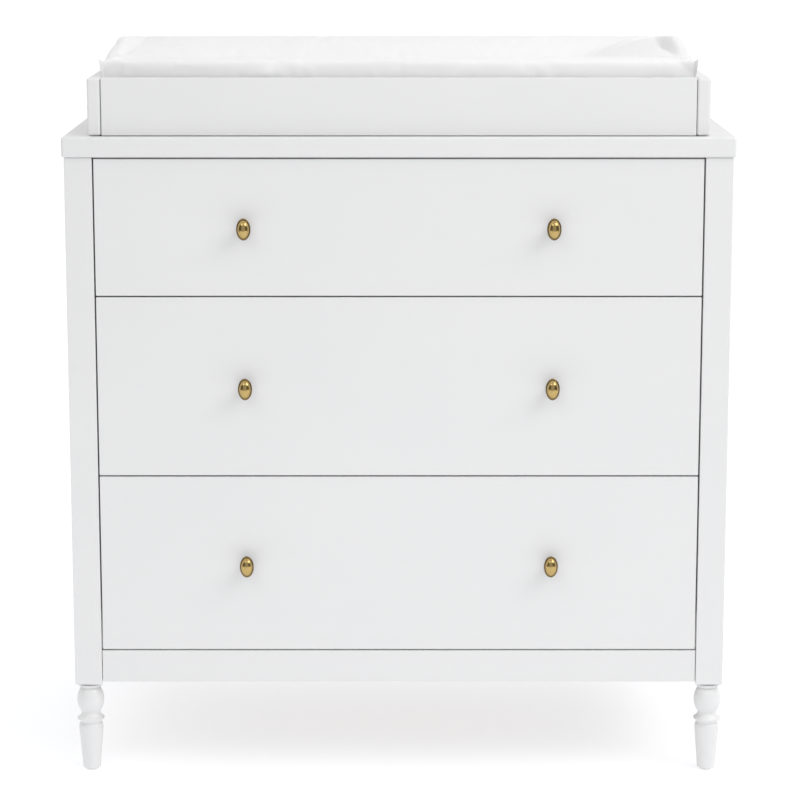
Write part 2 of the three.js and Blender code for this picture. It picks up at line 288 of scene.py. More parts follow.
def turned(name, outline, around=64, oval=1.0):
    """A turned solid: the outline gives radius and height along the axis, from closed end to closed end."""
    points = []
    faces = []
    rings = [p for p in outline if p[0] > 1e-6]
    for radius, height in rings:
        for i in range(around):
            angle = 2 * math.pi * i / around
            points.append((radius * math.cos(angle) * oval, radius * math.sin(angle), height))
    for row in range(len(rings) - 1):
        for i in range(around):
            j = (i + 1) % around
            a, b = row * around, (row + 1) * around
            faces.append((a + i, a + j, b + j, b + i))
    first = len(points)
    points += [(0, 0, outline[0][1]), (0, 0, outline[-1][1])]
    top = (len(rings) - 1) * around
    for i in range(around):
        j = (i + 1) % around
        faces.append((first, j, i))
        faces.append((first + 1, top + i, top + j))
    return mesh_of(name, points, faces)


def crisp(piece, angle=35):
    """Edges sharper than this angle stay sharp in smooth shading."""
    piece.data.set_sharp_from_angle(angle=math.radians(angle))


# ---------------------------------------------------------------- boards that keep their CAD shape

EASED_EDGE = 3.2 * MM  # the rounding of the top's and the tray's ends, which hands and clothes touch


def finish_board(node, finish, rounding, segments=3):
    """A CAD node's own mesh stays as it is; modifiers round its edges over it."""
    board = nodes[node]
    board.data.shade_smooth()
    weld = board.modifiers.new("weld", "WELD")
    weld.merge_threshold = 0.01 * MM
    flat = board.modifiers.new("flat", "DECIMATE")
    flat.decimate_type = "DISSOLVE"
    flat.angle_limit = math.radians(0.5)
    edges = board.modifiers.new("edges", "BEVEL")
    edges.width = rounding
    edges.segments = segments
    edges.limit_method = "ANGLE"
    edges.angle_limit = math.radians(40)
    edges.use_clamp_overlap = False
    flatter = board.modifiers.new("flatter", "WEIGHTED_NORMAL")
    flatter.weight = 100
    flatter.keep_sharp = True
    finish.give(board)


def finish_case(paint, sheet):
    finish_board("top_board", paint, EASED_EDGE, 5)
    for side in SIDES:
        for row in ("front", "back"):
            finish_board(f"post_{row}_{side}", paint, 1.2 * MM)
        finish_board(f"side_panel_{side}", paint, 0.8 * MM)
        finish_board(f"tray_side_{side}", paint, EASED_EDGE, 5)
    for node in ("bottom_rail_front", "bottom_rail_back"):
        finish_board(node, paint, 0.8 * MM)
    for node in ("tray_front", "tray_back"):
        finish_board(node, paint, 1.0 * MM)
    finish_board("back_sheet", sheet, 0.3 * MM, 1)


def finish_drawers(paint, board, sheet, steel):
    for drawer in DRAWERS:
        finish_board(f"drawer_{drawer}_front", paint, 1.0 * MM)
        finish_board(f"drawer_{drawer}_back", board, 0.5 * MM, 2)
        finish_board(f"drawer_{drawer}_bottom", sheet, 0.3 * MM, 1)
        for side in SIDES:
            finish_board(f"drawer_{drawer}_side_{side}", board, 0.6 * MM, 2)
            for member in ("case", "middle", "drawer"):
                finish_board(f"slide_{drawer}_{member}_{side}", steel, 0.35 * MM, 2)
    for side in SIDES:
        finish_board(f"tray_plate_{side}", steel, 0.3 * MM, 2)


# ---------------------------------------------------------------- turned feet


def add_feet(paint, glide_finish):
    """Each foot has a taper, a shoulder, a ring, a ball and a flange under its post, and a nylon glide."""
    stud_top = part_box("turned_foot_front_left")[1].z
    post_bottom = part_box("post_front_left")[0].z
    flange_top = post_bottom - 2.2 * MM
    neck_top = post_bottom - 0.4 * MM
    neck, stud = 10.5 * MM, 4 * MM
    glide_height = 1.8 * MM
    ball = arc((-10.9 * MM, 103.4 * MM), 30 * MM, -36.9, 34.0, 24)
    outline = [
        Vector((0, glide_height)),
        *path((9.6 * MM, glide_height), ((12.3 * MM, glide_height), (12.6 * MM, 4.2 * MM))),
        *path((12.75 * MM, 8 * MM), ((17.1 * MM, 60 * MM),)),
        *path((17.1 * MM, 60 * MM), ((17.7 * MM, 67.0 * MM), (14.9 * MM, 68.6 * MM)))[1:],
        *path((14.55 * MM, 69.4 * MM), ((15.2 * MM, 71 * MM), (18.2 * MM, 73.9 * MM))),
        *path((18.6 * MM, 74.3 * MM), ((19.6 * MM, 75.5 * MM), (18.6 * MM, 76.7 * MM))),
        *path((18.2 * MM, 77.0 * MM), ((14.8 * MM, 78.8 * MM), (13.3 * MM, 83.2 * MM))),
        *ball,
        *path((13.3 * MM, 120.6 * MM), ((13.0 * MM, 121.6 * MM), (13.5 * MM, 122.6 * MM))),
        *path((13.9 * MM, 122.9 * MM), ((16.6 * MM, 123.2 * MM), (17.0 * MM, 123.9 * MM))),
        *path((17.4 * MM, 124.8 * MM), ((17.6 * MM, 126.4 * MM), (16.9 * MM, flange_top))),
        Vector((neck, flange_top)),
        Vector((neck, neck_top)),
        Vector((stud, neck_top)),
        Vector((stud, stud_top - 0.5 * MM)),
        Vector((stud - 0.5 * MM, stud_top)),
        Vector((0, stud_top)),
    ]
    shape = turned("foot", outline, 96)
    glide_shape = turned(
        "glide",
        [
            Vector((0, 0)),
            *path((7.6 * MM, 0), ((8.6 * MM, 0.1 * MM), (8.9 * MM, 0.8 * MM)), ((9.0 * MM, glide_height),)),
            Vector((0, glide_height)),
        ],
        48,
    )
    for row in ("front", "back"):
        for side in SIDES:
            node = f"turned_foot_{row}_{side}"
            low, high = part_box(node)
            place = ((low.x + high.x) / 2, (low.y + high.y) / 2, 0)
            foot = new_piece(f"foot_{row}_{side}", shape.copy(), place)
            crisp(foot, 50)
            rest_on(foot, "case", paint)
            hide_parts(node)
            glide = new_piece(f"glide_{row}_{side}", glide_shape.copy(), place)
            crisp(glide)
            rest_on(glide, "case", glide_finish)


# ---------------------------------------------------------------- knobs and screws

KNOB_HEIGHT = 30.4 * MM
KNOB_OVAL = 19.6 / 30.4
KNOB_REACH = 27 * MM


def knob_mesh():
    """An oval head with a beaded rim and a domed face, on a round waisted stem, along the local -Y."""
    edge = KNOB_HEIGHT / 2
    dome = path(
        (edge - 2.3 * MM, 19.9 * MM),
        ((edge - 3.0 * MM, 22.6 * MM), (9.4 * MM, 24.9 * MM)),
        ((5.2 * MM, KNOB_REACH), (0.02 * MM, KNOB_REACH)),
        pieces=14,
    )
    head = [
        Vector((0, 13.4 * MM)),
        *path((5.2 * MM, 13.4 * MM), ((11.4 * MM, 14.4 * MM), (edge - 0.7 * MM, 17.4 * MM))),
        *arc((edge - 1.0 * MM, 18.5 * MM), 1.0 * MM, -60, 150, 12),
        *dome,
        Vector((0, KNOB_REACH)),
    ]
    stem = [
        Vector((0, 0.3 * MM)),
        *path((6.6 * MM, 0.3 * MM), ((7.2 * MM, 0.4 * MM), (7.2 * MM, 1.1 * MM))),
        *path((6.6 * MM, 1.8 * MM), ((4.2 * MM, 3.0 * MM), (3.7 * MM, 8 * MM))),
        *path((3.7 * MM, 9 * MM), ((3.9 * MM, 12.2 * MM), (5.4 * MM, 14.2 * MM))),
        Vector((0, 14.2 * MM)),
    ]
    built = bmesh.new()
    built.from_mesh(turned("knob_head", head, 72, KNOB_OVAL))
    built.from_mesh(turned("knob_stem", stem, 48))
    # The turning axis, local Z, points out of the drawer front, along -Y.
    bmesh.ops.rotate(built, verts=built.verts, matrix=Matrix.Rotation(math.pi / 2, 3, "X"))
    mesh = bpy.data.meshes.new("knob")
    built.to_mesh(mesh)
    mesh.shade_smooth()
    return mesh


def screw_mesh(radius, height, name, flush=False):
    """A screw's head along local Z, from 0 up, with a cross recess. A flush one is a flat disc."""
    if flush:
        outline = [Vector((0, -1.2 * MM)), Vector((radius, -1.2 * MM)), Vector((radius, height * 0.8))]
        outline += [Vector((radius * 0.95, height)), Vector((0, height))]
    else:
        outline = [Vector((0, 0)), Vector((radius * 0.96, 0))]
        outline += path((radius, 0.15 * height), ((radius * 0.98, height * 0.8), (radius * 0.5, height)))
        outline += [Vector((0, height))]
    head = new_piece(name, turned(name, outline, 40))
    arm, half_width = radius * 0.58, radius * 0.13
    deep = min(height + 0.9 * MM, 1.1 * MM) if flush else height * 0.65
    corners = []
    for turn in range(4):
        quarter = Matrix.Rotation(turn * math.pi / 2, 2)
        for corner in ((arm, -half_width), (arm, half_width), (half_width, half_width)):
            corners.append(quarter @ Vector(corner))
    cross = bmesh.new()
    base = cross.faces.new([cross.verts.new((x, y, height - deep)) for x, y in corners])
    raised = bmesh.ops.extrude_face_region(cross, geom=[base])["geom"]
    lifted = [v for v in raised if isinstance(v, bmesh.types.BMVert)]
    bmesh.ops.translate(cross, vec=(0, 0, 2 * deep), verts=lifted)
    bmesh.ops.recalc_face_normals(cross, faces=cross.faces)
    cutter_mesh = bpy.data.meshes.new("cross")
    cross.to_mesh(cutter_mesh)
    cutter = new_piece("cross", cutter_mesh)
    head.modifiers.new("recess", "BOOLEAN").object = cutter
    bpy.context.view_layer.update()
    seen = head.evaluated_get(bpy.context.evaluated_depsgraph_get())
    mesh = bpy.data.meshes.new_from_object(seen)
    bpy.data.objects.remove(cutter)
    bpy.data.objects.remove(head)
    mesh.set_sharp_from_angle(angle=math.radians(35))
    return mesh


OUTWARD = {  # turns of a piece's local Z to the ways that screws face
    "back": Matrix.Rotation(-math.pi / 2, 4, "X"),
    "left": Matrix.Rotation(-math.pi / 2, 4, "Y"),
    "right": Matrix.Rotation(math.pi / 2, 4, "Y"),
}


def place_heads(name, mesh, places, facing, body, finish, turns):
    """One piece with a copy of the head at each place, each turned its own way."""
    built = bmesh.new()
    for place in places:
        before = len(built.verts)
        built.from_mesh(mesh)
        built.verts.ensure_lookup_table()
        spin = Matrix.Rotation(turns.uniform(0, math.pi), 4, "Z")
        whole = Matrix.Translation(place) @ OUTWARD[facing] @ spin
        bmesh.ops.transform(built, matrix=whole, verts=built.verts[before:])
    joined = bpy.data.meshes.new(name)
    built.to_mesh(joined)
    joined.set_sharp_from_angle(angle=math.radians(35))
    rest_on(new_piece(name, joined), body, finish)


def add_knobs(brass, steel):
    shape = knob_mesh()
    head = screw_mesh(4.2 * MM, 1.9 * MM, "pan_head")
    turns = random.Random(5)
    for drawer in DRAWERS:
        low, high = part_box(f"drawer_{drawer}_front")
        for side in SIDES:
            node = f"drawer_{drawer}_knob_{side}"
            knob_low, knob_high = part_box(node)
            place = Vector(((knob_low.x + knob_high.x) / 2, low.y, (knob_low.z + knob_high.z) / 2))
            knob = new_piece(f"knob_{drawer}_{side}", shape.copy(), place)
            crisp(knob, 60)
            rest_on(knob, f"{drawer}_drawer", brass)
            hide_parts(node)
            inside = Vector((place.x, high.y + 0.1 * MM, place.z))
            place_heads(
                f"knob_screw_{drawer}_{side}", head, [inside], "back", f"{drawer}_drawer", steel, turns
            )


# ---------------------------------------------------------------- drawer fittings

SLIDE_STEEL = 1.2 * MM
CAM_INSET = 26 * MM  # from the front end and the edges of a drawer's side
CORNER_SCREW_INSET = 6 * MM  # from its back end
SLIDE_SCREW_INSET = 30 * MM  # from a slide's ends


def add_drawer_fittings(steel):
    """Cams that hold the drawer front, screws at the back corners and in the slides."""
    turns = random.Random(11)
    cam = screw_mesh(7.2 * MM, 0.15 * MM, "cam", flush=True)
    countersunk = screw_mesh(3.4 * MM, 0.2 * MM, "countersunk", flush=True)
    pan = screw_mesh(2.9 * MM, 1.2 * MM, "slide_screw")
    for drawer in DRAWERS:
        body = f"{drawer}_drawer"
        for side, sign in SIDES.items():
            low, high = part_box(f"drawer_{drawer}_side_{side}")
            outer = low.x if sign < 0 else high.x
            heights = [low.z + CAM_INSET, high.z - CAM_INSET]
            cams = [Vector((outer, low.y + CAM_INSET, z)) for z in heights]
            place_heads(f"cams_{drawer}_{side}", cam, cams, side, body, steel, turns)
            ends = [Vector((outer, high.y - CORNER_SCREW_INSET, z)) for z in heights]
            place_heads(f"corner_screws_{drawer}_{side}", countersunk, ends, side, body, steel, turns)
            low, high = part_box(f"slide_{drawer}_drawer_{side}")
            web = low.x + SLIDE_STEEL if sign > 0 else high.x - SLIDE_STEEL
            middle = (low.z + high.z) / 2
            along = [low.y + SLIDE_SCREW_INSET, (low.y + high.y) / 2, high.y - SLIDE_SCREW_INSET]
            screws = [Vector((web, y, middle)) for y in along]
            place_heads(f"drawer_slide_screws_{drawer}_{side}", pan, screws, side, body, steel, turns)
            low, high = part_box(f"slide_{drawer}_case_{side}")
            web = high.x - SLIDE_STEEL if sign > 0 else low.x + SLIDE_STEEL
            inward = "left" if sign > 0 else "right"
            screws = [Vector((web, y, middle)) for y in along]
            flat_screw = screw_mesh(3.0 * MM, 0.5 * MM, "case_slide_screw", flush=True)
            place_heads(
                f"case_slide_screws_{drawer}_{side}", flat_screw, screws, inward, "case", steel, turns
            )


def add_ball_cages(steel):
    """Rows of balls in their cages, between each slide's members."""
    ball_radius = 1.95 * MM
    pitch = 12 * MM
    count = 15
    length = count * pitch
    strip_size = (2.2 * MM, length, 0.7 * MM)
    case_gap = 0.3 * MM  # between the case's wall and its slide member
    # How far each row is above and below the slide's middle, out from the case wall, and back from its front.
    rows = {
        "outer": (19.25 * MM, 6.2 * MM, 200 * MM),
        "inner": (14.0 * MM, 8.0 * MM, 20 * MM),
    }
    for drawer in DRAWERS:
        for side, sign in SIDES.items():
            low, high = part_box(f"slide_{drawer}_middle_{side}")
            case_low, case_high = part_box(f"slide_{drawer}_case_{side}")
            wall = case_high.x + case_gap if sign > 0 else case_low.x - case_gap
            middle = (low.z + high.z) / 2
            for row, (lift, away, back) in rows.items():
                built = bmesh.new()
                start = low.y + back
                for i in range(count):
                    for up in (-1, 1):
                        centre = Vector((wall - sign * away, start + i * pitch, middle + up * lift))
                        bmesh.ops.create_uvsphere(
                            built, u_segments=12, v_segments=8, radius=ball_radius,
                            matrix=Matrix.Translation(centre),
                        )
                for up in (-1, 1):
                    strip = bmesh.ops.create_cube(built, size=1)["verts"]
                    bmesh.ops.scale(built, vec=strip_size, verts=strip)
                    centre = (wall - sign * away, start + length / 2 - pitch / 2, middle + up * lift)
                    bmesh.ops.translate(built, vec=centre, verts=strip)
                mesh = bpy.data.meshes.new("balls")
                built.to_mesh(mesh)
                mesh.shade_smooth()
                mesh.set_sharp_from_angle(angle=math.radians(60))
                cage = new_piece(f"ball_cage_{row}_{drawer}_{side}", mesh)
                rest_on(cage, f"{drawer}_slide_members", steel)


def add_back_fittings(steel):
    """Nails round the back sheet and screws in the tray's plates."""
    turns = random.Random(3)
    dome = [(0, 0), (2.1 * MM, 0), (2.0 * MM, 0.35 * MM), (1.2 * MM, 0.6 * MM), (0, 0.62 * MM)]
    nail = turned("nail", [Vector(point) for point in dome], 20)
    low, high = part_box("back_sheet")
    rail_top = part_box("bottom_rail_back")[1].z
    places = []
    inset = 14 * MM
    left, right = low.x + inset, high.x - inset
    bottom, top = rail_top + 8 * MM, high.z - 12 * MM
    rows, columns = 7, 9
    for i in range(rows):
        z = bottom + (top - bottom) * i / (rows - 1)
        places += [Vector((left, high.y, z)), Vector((right, high.y, z))]
    for i in range(1, columns - 1):
        x = left + (right - left) * i / (columns - 1)
        places += [Vector((x, high.y, bottom)), Vector((x, high.y, top))]
    place_heads("back_sheet_nails", nail, places, "back", "case", steel, turns)
    head = screw_mesh(4.0 * MM, 1.7 * MM, "plate_screw")
    places = []
    hole_inset = 8 * MM
    for side in SIDES:
        low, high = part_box(f"tray_plate_{side}")
        for z in (low.z + hole_inset, high.z - hole_inset):
            places.append(Vector(((low.x + high.x) / 2, high.y, z)))
    place_heads("tray_plate_screws", head, places, "back", "case", steel, turns)


# ---------------------------------------------------------------- changing pad

PAD_CELL = 6.2 * MM
PAD_SWELL = 2 * MM  # the cover starts this much inside the foam's size and swells to it
PAD_EDGE = 4.5 * MM  # radius of the edge between the outer face and the crest
PAD_CREST = 24 * MM  # outer face to where the wall starts to fall to the dish
PAD_SLOPE = 104 * MM  # how far the long walls run in, from the crest to the dish's floor
PAD_END_SLOPE = 2.1  # how many times longer the slopes at the ends are
PAD_FRONT_HEIGHT = 103.5 * MM
PAD_BACK_RISE = 8 * MM  # the back wall stands this much higher than the front wall
PAD_ROLL = (11 * MM, 21 * MM)  # an end wall's raised roll: its crest's width, and where its inner side ends
PAD_FLOOR = 50 * MM
PAD_RIM_CORNER = 8  # how sharp the dish's corners are: higher is sharper
PAD_TUCK = 6 * MM  # how deep the cover is drawn in where two walls meet
PAD_TUCK_WIDTH = 4.5 * MM
PAD_CREASE = 5 * MM  # how deep the cover is drawn in at the foot of an end wall's roll
PAD_CROWN = 1.6 * MM  # how much the crest is domed


def kept(value):
    """The value, kept from 0 to 1."""
    return min(1.0, max(0.0, value))


def pad_height(inset):
    """The pad's height above its base, at a distance in from its outer face."""
    crest = PAD_FRONT_HEIGHT - PAD_SWELL
    if inset < PAD_EDGE:
        return crest - PAD_EDGE + math.sqrt(max(0.0, PAD_EDGE**2 - (PAD_EDGE - inset) ** 2))
    t = kept((inset - PAD_CREST) / PAD_SLOPE)
    crown_width = PAD_CREST - PAD_EDGE + 20 * MM
    crown = PAD_CROWN * math.sin(math.pi * min(1.0, (inset - PAD_EDGE) / crown_width))
    return PAD_FLOOR + (crest - PAD_FLOOR) * (0.5 + 0.5 * math.cos(math.pi * t)) + crown


def end_wall_rise(share, peak):
    """How much higher than the front wall an end wall is. The share goes from -1, in front, to 1, behind."""
    blunt = 0.05
    away = (math.hypot(share, blunt) - blunt) / (math.hypot(1, blunt) - blunt)
    return peak + ((0 if share < 0 else PAD_BACK_RISE) - peak) * away


def tuck(in_x, in_y):
    """How deep the cover is drawn in along the seam where two walls meet, from the corner to the dish."""
    aside = (in_x - in_y) / (math.sqrt(2) * PAD_TUCK_WIDTH)
    inset = min(in_x, in_y)
    rise = kept((inset - 3 * MM) / (7 * MM))
    fade = kept(1 - (inset - 22 * MM) / (60 * MM))
    return PAD_TUCK * rise * fade * math.exp(-(aside**2))


def pad_insets():
    """Distances in from the outer face whose points lie about a cell apart, and closer near the crest."""
    fine = np.linspace(0, PAD_CREST + PAD_SLOPE, 3000)
    heights = np.array([pad_height(d) for d in fine])
    run = np.concatenate([[0], np.cumsum(np.hypot(np.diff(fine), np.diff(heights)))])
    near = np.interp(PAD_CREST + 4 * MM, fine, run)
    close = np.linspace(0, near, round(near / (0.6 * PAD_CELL)) + 1)
    rest = np.linspace(near, run[-1], round((run[-1] - near) / PAD_CELL) + 1)
    marks = np.concatenate([close, rest[1:]])
    return np.interp(marks, run, fine), marks


def pad_lines(half):
    """The grid lines across the pad's length or depth: distances from its middle, and their flat measure."""
    insets, run = pad_insets()
    inner = half - insets[-1]
    count = max(2, round(2 * inner / PAD_CELL))
    middle = np.linspace(-inner, inner, count + 1)[1:-1]
    lines = np.concatenate([insets - half, middle, (half - insets)[::-1]])
    flat = np.concatenate([run - run[-1] - inner, middle, (inner + run[-1] - run)[::-1]])
    return lines, flat


def pad_cage():
    """The pad's cover before it swells.

    It gives the points, the faces, the flat measure of each face's corners, the points up each corner's seam,
    and those round the base.
    """
    low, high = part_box("changing_pad")
    centre = (low + high) / 2
    half_x = (high.x - low.x) / 2 - PAD_SWELL
    half_y = (high.y - low.y) / 2 - PAD_SWELL
    end_peak = high.z - low.z - PAD_FRONT_HEIGHT
    xs, us = pad_lines(half_x)
    ys, vs = pad_lines(half_y)
    wall = pad_height(0)
    rows = round(wall / PAD_CELL)
    last_x, last_y = len(xs) - 1, len(ys) - 1
    points, index = [], {}

    def lift(x, y):
        """Height of the upper face. Each wall has its own height, and the dish's slopes take it up."""
        in_x, in_y = half_x - abs(x), half_y - abs(y)
        slope_x = in_x if in_x < PAD_CREST else PAD_CREST + (in_x - PAD_CREST) / PAD_END_SLOPE
        nearest = min(slope_x, in_y)
        if nearest > PAD_EDGE:
            blend = (slope_x / nearest) ** -PAD_RIM_CORNER + (in_y / nearest) ** -PAD_RIM_CORNER
            nearest = max(PAD_EDGE, nearest * blend ** (-1 / PAD_RIM_CORNER))
        height = pad_height(nearest)
        share = max(0.0, (height - PAD_FLOOR) / (PAD_FRONT_HEIGHT - PAD_FLOOR))
        base = PAD_BACK_RISE * kept(0.5 + 0.5 * y / half_y)
        roll = max(0.0, end_wall_rise(y / half_y, end_peak) - base)
        crest, foot = PAD_ROLL
        inner = kept((foot - in_x) / (foot - crest))
        inner = inner * inner * (3 - 2 * inner)
        crease = PAD_CREASE * math.exp(-(((in_x - foot) / PAD_TUCK_WIDTH) ** 2)) * roll / end_peak
        return height + base * share**1.5 + roll * inner - crease - tuck(in_x, in_y)

    def add(key, x, y, z):
        index[key] = len(points)
        points.append((centre.x + x, centre.y + y, low.z + z))

    for a, x in enumerate(xs):
        for b, y in enumerate(ys):
            add(("top", a, b), x, y, lift(x, y))
            on_edge = a in (0, last_x) or b in (0, last_y)
            if on_edge:
                crest_here = lift(x, y)
                for row in range(1, rows):
                    add(("wall", a, b, row), x, y, crest_here * (1 - row / rows))
            add(("base", a, b), x, y, 0.0)

    def at(a, b, row):
        if row == 0:
            return index["top", a, b]
        return index["base", a, b] if row == rows else index["wall", a, b, row]

    faces, flats = [], []
    for a in range(last_x):
        for b in range(last_y):
            corners = [(a, b), (a + 1, b), (a + 1, b + 1), (a, b + 1)]
            faces.append([index["top", i, j] for i, j in corners])
            flats.append([(us[i], vs[j]) for i, j in corners])
            faces.append([index["base", i, j] for i, j in reversed(corners)])
            flats.append([(us[i], vs[j] - 1) for i, j in reversed(corners)])
    step = wall / rows
    for row in range(rows):
        for a in range(last_x):
            for b, turn in ((0, 1), (last_y, -1)):
                corners = [(a, row + 1), (a + 1, row + 1), (a + 1, row), (a, row)][::turn]
                faces.append([at(i, b, r) for i, r in corners])
                flats.append([(us[i], vs[b] - turn * r * step) for i, r in corners])
        for b in range(last_y):
            for a, turn in ((0, -1), (last_x, 1)):
                corners = [(b, row + 1), (b + 1, row + 1), (b + 1, row), (b, row)][::turn]
                faces.append([at(a, j, r) for j, r in corners])
                flats.append([(us[a] + turn * r * step, vs[j]) for j, r in corners])
    seams = {
        (i, j): [at(a, b, row) for row in range(rows, -1, -1)]
        for i, a in ((-1, 0), (1, last_x))
        for j, b in ((-1, 0), (1, last_y))
    }
    rim = [at(a, 0, rows) for a in range(last_x)]
    rim += [at(last_x, b, rows) for b in range(last_y)]
    rim += [at(a, last_y, rows) for a in range(last_x, 0, -1)]
    rim += [at(0, b, rows) for b in range(last_y, 0, -1)]
    return points, faces, flats, seams, rim


def shape_walls(points):
    """The walls stand full between their seams, lean out a little over the tray, and end in small ears."""
    low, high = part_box("changing_pad")
    tray_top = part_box("tray_front")[1].z
    centre = (low + high) / 2
    half = (high - low) / 2
    fullness, uneven = 5.0 * MM, 1.3 * MM
    ear_reach, ear_lift = 1.5 * MM, 3 * MM
    shaped = []
    for x, y, z in points:
        sx, sy = (x - centre.x) / half.x, (y - centre.y) / half.y
        up = (z - low.z) / PAD_FRONT_HEIGHT
        front_back = max(0.0, abs(sy) - 0.9) / 0.1
        ends = max(0.0, abs(sx) - 0.95) / 0.05
        full = kept(up / 0.4)
        belly = fullness + uneven * math.sin(5.1 * x + 0.7) * (1 if y < 0 else 0.5)
        y += math.copysign(front_back * full * belly * (1 - sx**8), sy)
        over = kept((z - tray_top) / (15 * MM))
        x += math.copysign(ends * (over * 3 - 3.5 * sy**4) * MM, sx)
        corner = (max(0.0, abs(sx) - 0.93) / 0.07) * (max(0.0, abs(sy) - 0.86) / 0.14)
        ear = corner**2 * over
        x += math.copysign(ear * ear_reach, sx)
        y += math.copysign(ear * ear_reach, sy)
        z += ear * ear_lift
        shaped.append(Vector((x, y, z)))
    return shaped


def swell(piece, pinned, soft):
    """Lets the cover billow over its foam as cloth that is a little larger than it, then keeps the result."""
    start = [v.co.copy() for v in piece.data.vertices]
    group = piece.vertex_groups.new(name="held")
    for i in range(len(start)):
        group.add([i], 1.0 if i in pinned else soft[i], "REPLACE")
    cloth = piece.modifiers.new("cover", "CLOTH")
    settings = cloth.settings
    settings.quality = 4
    settings.mass = 0.25
    settings.tension_stiffness = 12
    settings.compression_stiffness = 12
    settings.shear_stiffness = 6
    settings.bending_stiffness = 0.12
    settings.vertex_group_mass = "held"
    settings.pin_stiffness = 0.5
    settings.shrink_min = -0.009
    settings.use_pressure = True
    settings.uniform_pressure_force = 1.2
    settings.effector_weights.gravity = 0
    cloth.collision_settings.use_collision = False
    scene = bpy.context.scene
    frames = 20
    cloth.point_cache.frame_start = 1
    cloth.point_cache.frame_end = frames
    for number in range(1, frames + 1):
        scene.frame_set(number)
    seen = piece.evaluated_get(bpy.context.evaluated_depsgraph_get())
    moved = [v.co.copy() for v in seen.data.vertices]
    piece.modifiers.remove(cloth)
    piece.vertex_groups.remove(group)
    scene.frame_set(1)
    cap = 9 * MM  # the furthest that a point may move
    for vertex, first, last in zip(piece.data.vertices, start, moved):
        move = last - first
        if move.length > cap:
            move *= cap / move.length
        vertex.co = first + move
    piece.data.update()


def keep_clear(piece):
    """Below the tray's rim the pad stays between the tray's boards, and on the top board."""
    inner_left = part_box("tray_side_left")[1].x + 0.6 * MM
    inner_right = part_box("tray_side_right")[0].x - 0.6 * MM
    inner_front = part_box("tray_front")[1].y + 0.7 * MM
    inner_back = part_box("tray_back")[0].y - 0.7 * MM
    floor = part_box("changing_pad")[0].z
    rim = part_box("tray_front")[1].z
    for vertex in piece.data.vertices:
        x, y, z = vertex.co
        free = kept((z - rim - 1 * MM) / (22 * MM)) * 8 * MM
        x = min(inner_right + free, max(inner_left - free, x))
        y = min(inner_back + free, max(inner_front - free, y))
        vertex.co = (x, y, max(floor, z))


def add_pad(cover):
    """The cover over the foam, which is tight inside the tray and looser above it, with its seams."""
    points, faces, flats, seams, rim = pad_cage()
    points = shape_walls(points)
    mesh = mesh_of("pad", points, faces)
    layer = mesh.uv_layers.new(name="panel")
    for face, flat in zip(mesh.polygons, flats):
        for loop, uv in zip(face.loop_indices, flat):
            layer.data[loop].uv = uv
    pad = new_piece("contoured_pad", mesh)
    low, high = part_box("changing_pad")
    tray_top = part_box("tray_front")[1].z
    seam_points = {i for line in seams.values() for i in line}
    pinned = {i for i, p in enumerate(points) if p.z < low.z + 1 * MM} | seam_points
    soft = []
    for p in points:
        loose = 0.5 + 0.5 * noise.noise(p * 9)
        hold = 0.45 if p.z < tray_top - 8 * MM else 0.10 + 0.20 * (1 - loose)
        soft.append(hold)
    swell(pad, pinned, soft)
    keep_clear(pad)
    smooth = pad.modifiers.new("smooth", "SUBSURF")
    smooth.levels = smooth.render_levels = 1
    rest_on(pad, "pad", cover)
    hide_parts("changing_pad")
    add_pad_seams(pad, seams, rim, cover)


def lay_cloth(mesh):
    """A flat measure for the weave on a seam or a welt."""
    uv = mesh.uv_layers.get("panel") or mesh.uv_layers.new(name="panel")
    for loop in mesh.loops:
        x, y, z = mesh.vertices[loop.vertex_index].co
        uv.data[loop.index].uv = (x + y, z)


def welt_along(name, points, radius):
    """A thin round welt along a closed line of points."""
    curve = bpy.data.curves.new(name, "CURVE")
    curve.dimensions = "3D"
    curve.bevel_depth = radius
    curve.bevel_resolution = 3
    line = curve.splines.new("POLY")
    line.points.add(len(points) - 1)
    for point, place in zip(line.points, points):
        point.co = (*place, 1)
    line.use_cyclic_u = True
    made = new_piece(name, curve)
    bpy.context.view_layer.update()
    mesh = bpy.data.meshes.new_from_object(made.evaluated_get(bpy.context.evaluated_depsgraph_get()))
    bpy.data.objects.remove(made)
    mesh.shade_smooth()
    lay_cloth(mesh)
    return new_piece(name, mesh)


def seam_fin(name, line, outward):
    """The pressed seam that stands out from a corner, wider towards its pointed upper end."""
    tray_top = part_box("tray_front")[1].z
    crest = max(p.z for p in line)
    aside = Vector((-outward.y, outward.x, 0))
    points = []
    for place in line:
        over = max(0.0, (place.z - tray_top - 1 * MM) / (crest - tray_top))
        reach = 0.5 * MM + 6 * MM * over**0.8
        tip = place + outward * reach + Vector((0, 0, 4.5 * MM * over**2))
        root = place - outward * 2 * MM
        points += [root + aside * 1.1 * MM, tip + aside * 0.45 * MM]
        points += [tip - aside * 0.45 * MM, root - aside * 1.1 * MM]
    faces = [(0, 1, 2, 3), tuple(len(points) - k for k in (1, 2, 3, 4))]
    for row in range(len(line) - 1):
        for k in range(4):
            a, b = 4 * row + k, 4 * row + (k + 1) % 4
            faces.append((a, a + 4, b + 4, b))
    mesh = mesh_of(name, points, faces)
    lay_cloth(mesh)
    fin = new_piece(name, mesh)
    edges = fin.modifiers.new("edges", "BEVEL")
    edges.width, edges.segments = 0.35 * MM, 2
    return fin


